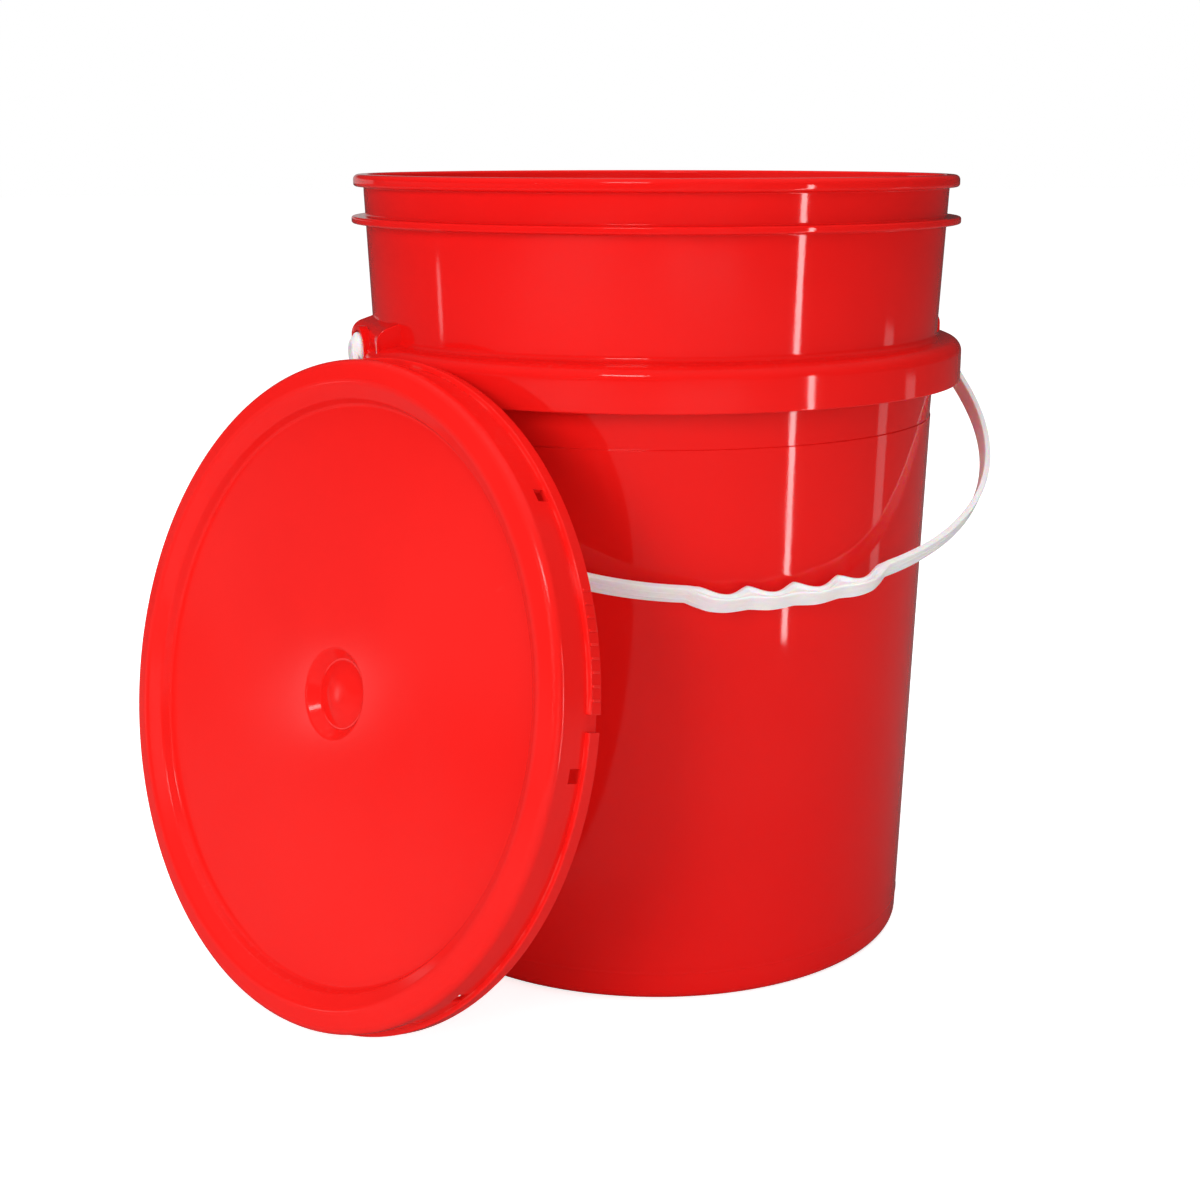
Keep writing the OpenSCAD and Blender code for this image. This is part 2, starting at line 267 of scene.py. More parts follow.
def box(low: Sequence[float], high: Sequence[float], name: str = "box") -> bpy.types.Object:
    """Makes a box between two corners.

    Args:
        low: Its lowest corner.
        high: Its highest corner.
        name: Its name.

    Returns:
        The box, with its place in its mesh.
    """
    a, b = Vector(low), Vector(high)
    bpy.ops.mesh.primitive_cube_add(size=1, location=(a + b) / 2)
    obj = named(name)
    obj.scale = b - a
    settle()
    return obj


def eased(obj: bpy.types.Object, width: float, steps: int = 3) -> bpy.types.Object:
    """Rounds every edge of an object that turns more than the smooth angle."""
    return apply(
        obj, "BEVEL", width=width, segments=steps, limit_method="ANGLE", angle_limit=SMOOTH_BELOW
    )


def rounded(corners: Sequence[Corner]) -> list[Point]:
    """Rounds the corners of an outline.

    Args:
        corners: Its corners in order, each as x, y and the radius of its rounding.

    Returns:
        The points of the rounded outline.
    """
    points: list[Point] = []
    count = len(corners)
    for i, (x, y, radius) in enumerate(corners):
        here = Vector((x, y))
        if radius == 0:
            points.append((x, y))
            continue
        u = (Vector(corners[i - 1][:2]) - here).normalized()
        v = (Vector(corners[(i + 1) % count][:2]) - here).normalized()
        half = u.angle(v) / 2
        centre = here + (u + v).normalized() * radius / math.sin(half)
        start = here + u * radius / math.tan(half) - centre
        stop = here + v * radius / math.tan(half) - centre
        turn = (math.pi - 2 * half) * (1 if start.x * stop.y - start.y * stop.x > 0 else -1)
        steps = max(2, math.ceil(abs(turn) / ARC_STEP))
        for k in range(steps + 1):
            a = turn * k / steps
            points.append((
                centre.x + start.x * math.cos(a) - start.y * math.sin(a),
                centre.y + start.x * math.sin(a) + start.y * math.cos(a),
            ))
    return points


def turned(name: str, outline: Sequence[Point], segments: int) -> bpy.types.Object:
    """Draws a turned solid out of one circle, ring by ring.

    Args:
        name: The piece's name.
        outline: Radius and height of each ring. A radius of 0 closes the solid on its axis.
        segments: How many points a ring has.

    Returns:
        The closed solid about the Z axis.
    """
    on_axis = outline[0][0] < TINY
    rings = list(outline[1:] if on_axis else outline)
    radius, height = rings[0]
    bpy.ops.mesh.primitive_circle_add(
        vertices=segments, radius=radius, location=(0, 0, 0),
        fill_type="TRIFAN" if on_axis else "NOTHING",
    )
    obj = named(name)
    with editing(obj):
        bpy.ops.mesh.select_all(action="SELECT")
        bpy.ops.transform.translate(value=(0, 0, height))
        bpy.ops.mesh.select_mode(type="EDGE")
        if on_axis:
            bpy.ops.mesh.region_to_loop()
        for next_radius, next_height in rings[1:]:
            bpy.ops.mesh.extrude_region_move(
                TRANSFORM_OT_translate={"value": (0, 0, next_height - height)}
            )
            if next_radius < TINY:
                bpy.ops.mesh.merge(type="CENTER")
                break
            grow = next_radius / radius
            bpy.ops.transform.resize(value=(grow, grow, 1), center_override=(0, 0, next_height))
            radius, height = next_radius, next_height
        else:
            bpy.ops.mesh.select_mode(type="VERT")
            bpy.ops.mesh.select_all(action="DESELECT")
            bpy.ops.mesh.select_non_manifold()
            bpy.ops.mesh.select_mode(type="EDGE")
            bpy.ops.mesh.bridge_edge_loops()
    return clean(obj)


# ---------------------------------------------------------------- finishes


def new_group(name: str, takes: dict[str, float], gives: dict[str, str]) -> bpy.types.NodeTree:
    """Starts a shader node group.

    Args:
        name: The group's name.
        takes: Its number inputs, with their first values.
        gives: Its outputs, each with its socket type.

    Returns:
        The group's tree, with its input and output nodes in it.
    """
    tree = bpy.data.node_groups.new(name, "ShaderNodeTree")
    for key, value in takes.items():
        socket = tree.interface.new_socket(key, in_out="INPUT", socket_type="NodeSocketFloat")
        socket.default_value = value
    for key, kind in gives.items():
        tree.interface.new_socket(key, in_out="OUTPUT", socket_type=kind)
    tree.nodes.new("NodeGroupInput").name = "in"
    tree.nodes.new("NodeGroupOutput").name = "out"
    return tree


class Wiring:
    """Adds nodes to a tree and joins their sockets."""

    def __init__(self, tree: bpy.types.NodeTree) -> None:
        """Keeps the tree that nodes are added to."""
        self.tree = tree

    def add(self, kind: str, settings: dict[str, object] | None = None, **sockets: object) -> bpy.types.Node:
        """Adds a node.

        Args:
            kind: The node's type, without its leading ShaderNode.
            settings: The node's own settings.
            sockets: Values or output sockets for its inputs, with spaces written as _.

        Returns:
            The node.
        """
        node = self.tree.nodes.new("ShaderNode" + kind)
        for key, value in (settings or {}).items():
            setattr(node, key, value)
        for key, value in sockets.items():
            self.put(value, node.inputs[key.replace("_", " ")])
        return node

    def put(self, value: object, socket: bpy.types.NodeSocket) -> None:
        """Joins an output socket to an input, or sets the input to a plain value."""
        if isinstance(value, bpy.types.NodeSocket):
            self.tree.links.new(value, socket)
        else:
            socket.default_value = value

    def sum(self, how: str, a: object, b: object, clamp: bool = False) -> bpy.types.NodeSocket:
        """Adds a Math node.

        Args:
            how: Its operation.
            a: Its first value.
            b: Its second value.
            clamp: Whether the answer stays between 0 and 1.

        Returns:
            Its output.
        """
        node = self.add("Math", {"operation": how, "use_clamp": clamp})
        self.put(a, node.inputs[0])
        self.put(b, node.inputs[1])
        return node.outputs[0]

    def between(
        self, value: object, low: float, high: float, to_low: float = 0.0, to_high: float = 1.0
    ) -> bpy.types.NodeSocket:
        """Maps a value smoothly from one range to another.

        Args:
            value: The value.
            low: Where the first range starts.
            high: Where it ends.
            to_low: What its start becomes.
            to_high: What its end becomes.

        Returns:
            The mapped value.
        """
        node = self.add(
            "MapRange", {"interpolation_type": "SMOOTHSTEP"},
            From_Min=low, From_Max=high, To_Min=to_low, To_Max=to_high,
        )
        self.put(value, node.inputs["Value"])
        return node.outputs["Result"]

    def mixed(self, amount: object, a: object, b: object, how: str = "MIX") -> bpy.types.NodeSocket:
        """Mixes two colours.

        Args:
            amount: How much of the second one.
            a: The first colour.
            b: The second colour.
            how: The blend type.

        Returns:
            The mixed colour.
        """
        node = self.add("Mix", {"data_type": "RGBA", "blend_type": how})
        self.put(amount, node.inputs[0])
        self.put(a, node.inputs[6])
        self.put(b, node.inputs[7])
        return node.outputs[2]

    def noise(
        self, scale: object, detail: float = 2.0, stretch: Sequence[float] = (1, 1, 1)
    ) -> bpy.types.NodeSocket:
        """Adds noise on the piece's own coordinates.

        Args:
            scale: How fine it is, per metre.
            detail: How many finer layers it has.
            stretch: How much finer it is along each axis.

        Returns:
            The noise value.
        """
        where = self.add("TexCoord").outputs["Object"]
        mapped = self.add("Mapping", Vector=where, Scale=tuple(stretch)).outputs["Vector"]
        return self.add("TexNoise", Vector=mapped, Scale=scale, Detail=detail).outputs["Fac"]


def blank(name: str) -> tuple[bpy.types.Material, Wiring]:
    """Starts a material with no nodes.

    Args:
        name: The material's name.

    Returns:
        The material and its wiring.
    """
    made = bpy.data.materials.new(name)
    made.use_nodes = True
    made.node_tree.nodes.clear()
    return made, Wiring(made.node_tree)


class SkinGroups:
    """Node groups that the plastics share: moulded skin, edge wear, scuffs and dust."""

    def __init__(self) -> None:
        """Builds each group once."""
        self.skin = self.moulded_skin()
        self.wear = self.edge_wear()
        self.scuff = self.scuffs()
        self.dust = self.settled_dust()

    @staticmethod
    def moulded_skin() -> bpy.types.NodeTree:
        """Builds the slight ripple of a moulded surface.

        Returns:
            A group with inputs Ripple, Grain and Depth, and output Height.
        """
        tree = new_group(
            "moulded skin", {"Ripple": 34.0, "Grain": 900.0, "Depth": 0.5}, {"Height": "NodeSocketFloat"}
        )
        w, inputs = Wiring(tree), tree.nodes["in"].outputs
        wave = w.noise(inputs["Ripple"], 1.0)
        grain = w.noise(inputs["Grain"], 2.0)
        fine = w.sum("MULTIPLY", grain, inputs["Depth"])
        w.put(w.sum("ADD", wave, fine), tree.nodes["out"].inputs["Height"])
        return tree

    @staticmethod
    def edge_wear() -> bpy.types.NodeTree:
        """Builds a mask of the places where edges are rubbed.

        Returns:
            A group with inputs Reach and Patches, and output Mask.
        """
        tree = new_group("edge wear", {"Reach": 0.54, "Patches": 60.0}, {"Mask": "NodeSocketFloat"})
        w, inputs = Wiring(tree), tree.nodes["in"].outputs
        sharp = w.add("NewGeometry").outputs["Pointiness"]
        edge = w.sum("MULTIPLY", w.sum("SUBTRACT", sharp, inputs["Reach"], True), 14.0, True)
        patch = w.between(w.noise(inputs["Patches"], 3.0), 0.45, 0.68)
        w.put(w.sum("MULTIPLY", edge, patch), tree.nodes["out"].inputs["Mask"])
        return tree

    @staticmethod
    def scuffs() -> bpy.types.NodeTree:
        """Builds fine level rub marks.

        Returns:
            A group with inputs Fineness and Amount, and output Mask.
        """
        tree = new_group("scuffs", {"Fineness": 240.0, "Amount": 0.4}, {"Mask": "NodeSocketFloat"})
        w, inputs = Wiring(tree), tree.nodes["in"].outputs
        lines = w.between(w.noise(inputs["Fineness"], 2.0, (1.0, 1.0, 9.0)), 0.6, 0.8)
        patch = w.between(w.noise(9.0, 2.0), 0.5, 0.8)
        mask = w.sum("MULTIPLY", w.sum("MULTIPLY", lines, patch), inputs["Amount"], True)
        w.put(mask, tree.nodes["out"].inputs["Mask"])
        return tree

    @staticmethod
    def settled_dust() -> bpy.types.NodeTree:
        """Builds a mask of dust on faces that look up.

        Returns:
            A group with input Amount and output Mask.
        """
        tree = new_group("settled dust", {"Amount": 0.3}, {"Mask": "NodeSocketFloat"})
        w, inputs = Wiring(tree), tree.nodes["in"].outputs
        normal = w.add("SeparateXYZ", Vector=w.add("NewGeometry").outputs["Normal"]).outputs["Z"]
        up = w.between(normal, 0.55, 0.98)
        speck = w.between(w.noise(420.0, 4.0), 0.5, 0.8)
        mask = w.sum("MULTIPLY", w.sum("MULTIPLY", up, speck), inputs["Amount"], True)
        w.put(mask, tree.nodes["out"].inputs["Mask"])
        return tree


@dataclass(frozen=True)
class Marks:
    """How much wear, scuffs and dust change a plastic's colour and roughness."""

    dust: tuple[float, float, float] = (0.78, 0.75, 0.71)
    wear_colour: float = 0.35
    scuff_colour: float = 0.06
    dust_colour: float = 0.06
    wear_rough: float = 0.06
    scuff_rough: float = 0.16
    dust_rough: float = 0.10


@dataclass(frozen=True)
class PlasticFinish:
    """A glossy moulded plastic, with slight colour drift, rubbed edges, scuffs and dust."""

    name: str
    colour: tuple[float, float, float]
    deep: tuple[float, float, float]
    worn: tuple[float, float, float]
    roughness: float
    rougher: float
    ripple: float
    grain: float
    bump: float
    glow: float = 0.0
    marks: Marks = Marks()

    def material(self, groups: SkinGroups) -> bpy.types.Material:
        """Builds the material.

        Args:
            groups: The shared node groups.

        Returns:
            The material.
        """
        made, w = blank(self.name)
        out = w.add("OutputMaterial")
        skin = self.group(w, groups.skin, Ripple=self.ripple, Grain=self.grain)
        wear = self.group(w, groups.wear).outputs["Mask"]
        scuff = self.group(w, groups.scuff).outputs["Mask"]
        dust = self.group(w, groups.dust).outputs["Mask"]
        drift = w.between(w.noise(5.0, 3.0), 0.3, 0.7)
        colour = w.mixed(drift, (*self.colour, 1), (*self.deep, 1))
        rough = w.between(w.noise(14.0, 4.0), 0.25, 0.75, self.roughness, self.rougher)
        marks = self.marks
        for mask, over, shows, roughens in (
            (wear, self.worn, marks.wear_colour, marks.wear_rough),
            (scuff, self.worn, marks.scuff_colour, marks.scuff_rough),
            (dust, marks.dust, marks.dust_colour, marks.dust_rough),
        ):
            colour = w.mixed(w.sum("MULTIPLY", mask, shows), colour, (*over, 1))
            rough = w.sum("ADD", rough, w.sum("MULTIPLY", mask, roughens), mask is dust)
        bump = w.add("Bump", Strength=self.bump, Distance=0.0003, Height=skin.outputs["Height"])
        shader = w.add(
            "BsdfPrincipled", Base_Color=colour, Roughness=rough, Normal=bump.outputs["Normal"],
            IOR=1.49, Subsurface_Weight=self.glow, Subsurface_Scale=0.004,
        )
        w.put(shader.outputs["BSDF"], out.inputs["Surface"])
        return made

    @staticmethod
    def group(w: Wiring, tree: bpy.types.NodeTree, **values: float) -> bpy.types.Node:
        """Places a shared group with its own values.

        Args:
            w: The material's wiring.
            tree: The group.
            values: The values of its inputs.

        Returns:
            The group node.
        """
        return w.add("Group", {"node_tree": tree}, **values)


@dataclass(frozen=True)
class FoamFinish:
    """A matt foam with fine cells."""

    name: str = "sealing foam"
    colour: tuple[float, float, float] = (0.30, 0.31, 0.33)
    cell: float = 1400.0

    def material(self) -> bpy.types.Material:
        """Builds the material.

        Returns:
            The material.
        """
        made, w = blank(self.name)
        out = w.add("OutputMaterial")
        where = w.add("TexCoord").outputs["Object"]
        cells = w.add("TexVoronoi", Vector=where, Scale=self.cell).outputs["Distance"]
        shade = w.between(w.noise(260.0, 3.0), 0.3, 0.7)
        dark = tuple(c * 0.6 for c in self.colour)
        colour = w.mixed(shade, (*self.colour, 1), (*dark, 1))
        bump = w.add("Bump", Strength=0.6, Distance=0.0004, Height=cells)
        rough = w.between(cells, 0.0, 0.8, 0.95, 0.75)
        shader = w.add(
            "BsdfPrincipled", Base_Color=colour, Roughness=rough, Normal=bump.outputs["Normal"]
        )
        w.put(shader.outputs["BSDF"], out.inputs["Surface"])
        return made


RED = PlasticFinish(
    name="red polypropylene",
    colour=(0.86, 0.010, 0.008), deep=(0.80, 0.007, 0.006), worn=(0.9, 0.16, 0.13),
    roughness=0.045, rougher=0.085, ripple=26.0, grain=700.0, bump=0.05,
)
LID_RED = PlasticFinish(
    name="red polyethylene",
    colour=(0.90, 0.013, 0.010), deep=(0.85, 0.010, 0.008), worn=(0.92, 0.2, 0.17),
    roughness=0.11, rougher=0.17, ripple=20.0, grain=620.0, bump=0.08,
)
WHITE = PlasticFinish(
    name="white polyethylene",
    colour=(0.95, 0.965, 0.975), deep=(0.925, 0.95, 0.965), worn=(0.96, 0.96, 0.95),
    roughness=0.28, rougher=0.38, ripple=60.0, grain=900.0, bump=0.16, glow=0.7,
)


def dress(obj: bpy.types.Object, material: bpy.types.Material) -> None:
    """Gives an object one material and no other."""
    obj.data.materials.clear()
    obj.data.materials.append(material)


def hand_over(obj: bpy.types.Object, body: Body, slot: str, *nodes: str) -> None:
    """Ties a finished piece to the frame.

    Args:
        obj: The piece.
        body: The body it rides on.
        slot: Not used.
        nodes: The CAD nodes that it stands for.
    """
    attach(obj, body.value)
    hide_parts(*nodes)
    log.info("%s rides on %s: %d faces", obj.name, body.value, len(obj.data.polygons))


# ---------------------------------------------------------------- pail


@dataclass
class PailBody:
    """The moulded body: wall, rim bead, stop rib, collar with gussets, hooded ears and foot."""

    height: float = 387.7 * MM
    rim_r: float = 151 * MM
    mouth_r: float = 146.1 * MM
    bead_h: float = 5.9 * MM
    wall: float = 2.2 * MM
    neck_r: float = 141.1 * MM
    waist_r: float = 141.5 * MM
    foot_r: float = 133.2 * MM
    foot_in_r: float = 121.2 * MM
    foot_round: float = 5 * MM
    base_rise: float = 3.2 * MM
    floor_z: float = 5.6 * MM
    step_z: float = 269.5 * MM
    step_in: float = 0.4 * MM
    rib_z: float = 367.6 * MM
    rib_h: float = 3.4 * MM
    rib_r: float = 152.3 * MM
    collar_r: float = 155.3 * MM
    ledge_z: float = 309.3 * MM
    ledge_fall: float = 1.9 * MM
    ledge_fillet: float = 2.6 * MM
    collar_round: float = 6.5 * MM
    skirt_z: float = 287.5 * MM
    under_z: float = 307.1 * MM
    gusset_step: int = 10
    gusset_half: float = 0.8 * MM
    gusset_fall: float = 2.4 * MM
    mark_z: float = 14 * MM
    mark_half: float = 1.2 * MM
    mark_out: float = 0.25 * MM
    pivot_z: float = 304 * MM
    ear_half: float = 27 * MM
    ear_x: float = 152 * MM
    ear_top: float = 315.6 * MM
    ear_rise: float = 6.2 * MM
    ear_round: float = 2.6 * MM
    ear_brow: float = 5 * MM
    ear_deep: float = 8 * MM
    ear_steps: int = 6
    hood_x: float = 155 * MM
    hood_in_r: float = 10.4 * MM
    hood_r: float = 12.6 * MM
    bore_r: float = 5 * MM
    segments: int = 240
    arch_points: int = 48

    def wall_r(self, z: float) -> float:
        """Gives the wall's outer radius at a height."""
        if z < self.step_z:
            return self.foot_r + (self.waist_r - self.foot_r) * z / self.step_z
        top = self.height - self.bead_h
        return self.neck_r + (self.mouth_r - self.neck_r) * (z - self.step_z) / (top - self.step_z)

    def shell(self) -> bpy.types.Object:
        """Turns the wall with its bead, rib, collar and foot.

        Returns:
            The closed shell.
        """
        inner = self.collar_r - self.wall
        under_rib = self.rib_z - self.rib_h
        bead_z = self.height - self.bead_h
        mark_foot, mark_top = self.mark_z - self.mark_half, self.mark_z + self.mark_half
        return turned("pail_body", rounded([
            (0, self.base_rise, 0),
            (self.foot_in_r, self.base_rise, 0.8 * MM),
            (self.foot_in_r, 0, 0.8 * MM),
            (self.foot_r, 0, self.foot_round),
            (self.wall_r(mark_foot), mark_foot, 0),
            (self.wall_r(self.mark_z) + self.mark_out, self.mark_z, 0.8 * MM),
            (self.wall_r(mark_top), mark_top, 0),
            (self.waist_r, self.step_z, 0.3 * MM),
            (self.neck_r, self.step_z + self.step_in, 0.3 * MM),
            (self.wall_r(self.skirt_z), self.skirt_z, 0),
            (self.wall_r(self.under_z), self.under_z, 1 * MM),
            (inner, self.under_z - self.ledge_fall, self.collar_round - self.wall),
            (inner, self.skirt_z, 0.6 * MM),
            (self.collar_r, self.skirt_z, 0.6 * MM),
            (self.collar_r, self.ledge_z - self.ledge_fall, self.collar_round),
            (self.wall_r(self.ledge_z), self.ledge_z, self.ledge_fillet),
            (self.wall_r(under_rib), under_rib, 1 * MM),
            (self.rib_r, under_rib, 1 * MM),
            (self.rib_r, self.rib_z, 1 * MM),
            (self.wall_r(self.rib_z), self.rib_z, 1 * MM),
            (self.mouth_r, bead_z, 0.8 * MM),
            (self.rim_r, bead_z, 1.6 * MM),
            (self.rim_r, self.height, 2.6 * MM),
            (self.mouth_r - self.wall, self.height, 1.6 * MM),
            (self.neck_r - self.wall, self.step_z, 4 * MM),
            (self.wall_r(self.floor_z) - self.wall, self.floor_z, 4 * MM),
            (0, self.floor_z, 0),
        ]), self.segments)

    def core(self, inset: float) -> bpy.types.Object:
        """Turns a cone inside the wall, to trim what must not stand into the pail.

        Args:
            inset: How far it lies inside the wall's outer face.

        Returns:
            The cone.
        """
        low = -10 * MM
        return turned("core", [
            (0, low), (self.foot_r - inset, low), (self.waist_r - inset, self.step_z),
            (self.mouth_r - inset, self.height), (0, self.height),
        ], self.segments)

    def gussets(self) -> bpy.types.Object:
        """Models one gusset under the collar and copies it round, clear of the ears.

        Returns:
            All the gussets as one object.
        """
        foot = self.skirt_z + 1 * MM
        gusset = box(
            (self.neck_r - self.wall / 2, -self.gusset_half, foot),
            (self.collar_r - self.wall / 2, self.gusset_half, self.under_z + self.wall / 2),
            "gusset",
        )
        with editing(gusset):
            choose(gusset, "vertices", lambda v: v.co.x > self.neck_r and v.co.z > foot + TINY)
            bpy.ops.transform.translate(value=(0, 0, -self.ledge_fall - self.gusset_fall))
        clear = math.degrees(math.asin(self.ear_half / self.collar_r)) + 1
        angles = [
            math.radians(a) for a in range(0, 360, self.gusset_step)
            if min(a, abs(a - 180), 360 - a) > clear
        ]
        return copied(gusset, angles)

    def ear_block(self, inset: float) -> bpy.types.Object:
        """Models the block of an ear on the +X side.

        Args:
            inset: How much smaller it is all round, for its hollow.

        Returns:
            The block.
        """
        half, face, top = self.ear_half - inset, self.ear_x - inset, self.ear_top - inset
        foot = self.skirt_z - (PAST if inset else 0)
        back = self.neck_r - self.ear_deep
        block = box((back, -half, foot), (face, half, top), "ear")
        with editing(block):
            choose(block, "vertices", lambda v: v.co.x < back + TINY and v.co.z > top - TINY)
            bpy.ops.transform.translate(value=(0, 0, self.ear_rise))

        def on_brow(edge: bpy.types.MeshEdge) -> bool:
            """Tells whether an edge is the front one along the block's top."""
            a, b = (block.data.vertices[i].co for i in edge.vertices)
            return a.x > face - TINY and b.x > face - TINY and min(a.z, b.z) > top - TINY

        def on_side(edge: bpy.types.MeshEdge) -> bool:
            """Tells whether an edge bounds the block's left or right end, clear of the pail."""
            a, b = (block.data.vertices[i].co for i in edge.vertices)
            at_end = a.y * b.y > 0 and min(abs(a.y), abs(b.y)) > half - TINY
            return at_end and max(a.x, b.x) > back + TINY and max(a.z, b.z) > foot + TINY

        for test, radius in ((on_brow, self.ear_brow), (on_side, self.ear_round)):
            with editing(block):
                choose(block, "edges", test)
                bpy.ops.mesh.bevel(
                    offset=radius - inset / 2, segments=self.ear_steps, clamp_overlap=True
                )
        return block

    def peg(self, name: str, radius: float, middle: float, length: float) -> bpy.types.Object:
        """Adds a cylinder on the pivots' line.

        Args:
            name: Its name.
            radius: Its radius.
            middle: Place of its middle along X.
            length: Its length along X.

        Returns:
            The cylinder.
        """
        bpy.ops.mesh.primitive_cylinder_add(
            vertices=self.arch_points, radius=radius, depth=length,
            location=(middle, 0, self.pivot_z), rotation=(0, math.pi / 2, 0),
        )
        peg = named(name)
        settle()
        return peg

    def arch(self, radius: float, x0: float, x1: float, foot: float) -> bpy.types.Object:
        """Models an arch about the pivot, with straight sides down to a foot.

        Args:
            radius: Its radius.
            x0: Where it starts along X.
            x1: Where it ends.
            foot: Height of its lower end.

        Returns:
            The arch as a solid.
        """
        arch = self.peg("arch", radius, (x0 + x1) / 2, x1 - x0)
        with editing(arch):
            bpy.ops.mesh.select_all(action="SELECT")
            bpy.ops.mesh.bisect(
                plane_co=(0, 0, self.pivot_z), plane_no=(0, 0, 1), clear_inner=True, use_fill=True
            )
            bpy.ops.mesh.select_all(action="DESELECT")
            bpy.ops.mesh.select_mode(type="FACE")
            choose(
                arch, "polygons",
                lambda face: face.normal.z < -0.9 and face.center.z < self.pivot_z + TINY,
            )
            bpy.ops.mesh.extrude_region_move(
                TRANSFORM_OT_translate={"value": (0, 0, foot - self.pivot_z)}
            )
        return clean(arch)

    def both(self, part: bpy.types.Object) -> bpy.types.Object:
        """Copies a part of the +X ear to the other side too."""
        return copied(part, (0, math.pi))

    def build(self) -> bpy.types.Object:
        """Models the whole body.

        Returns:
            The body.
        """
        body = self.shell()
        ears = cut(self.both(self.ear_block(0)), Cut.ADD, self.both(
            self.arch(self.hood_r, self.ear_x - self.wall / 2, self.hood_x, self.skirt_z)))
        cut(ears, Cut.TAKE, self.core(self.wall / 2))
        eased(ears, 0.5 * MM, 2)
        cut(body, Cut.ADD, ears)
        cut(body, Cut.ADD, self.gussets())
        hollow = cut(self.both(self.ear_block(self.wall)), Cut.TAKE, self.core(0))
        cut(body, Cut.TAKE, hollow)
        cut(body, Cut.TAKE, self.both(self.arch(
            self.hood_in_r, self.ear_x, self.collar_r + PAST, self.skirt_z - PAST)))
        bore = self.peg("bore", self.bore_r, self.ear_x - self.wall / 2, 4 * self.wall)
        cut(body, Cut.TAKE, self.both(bore))
        return smooth(clean(body))


# ---------------------------------------------------------------- bail


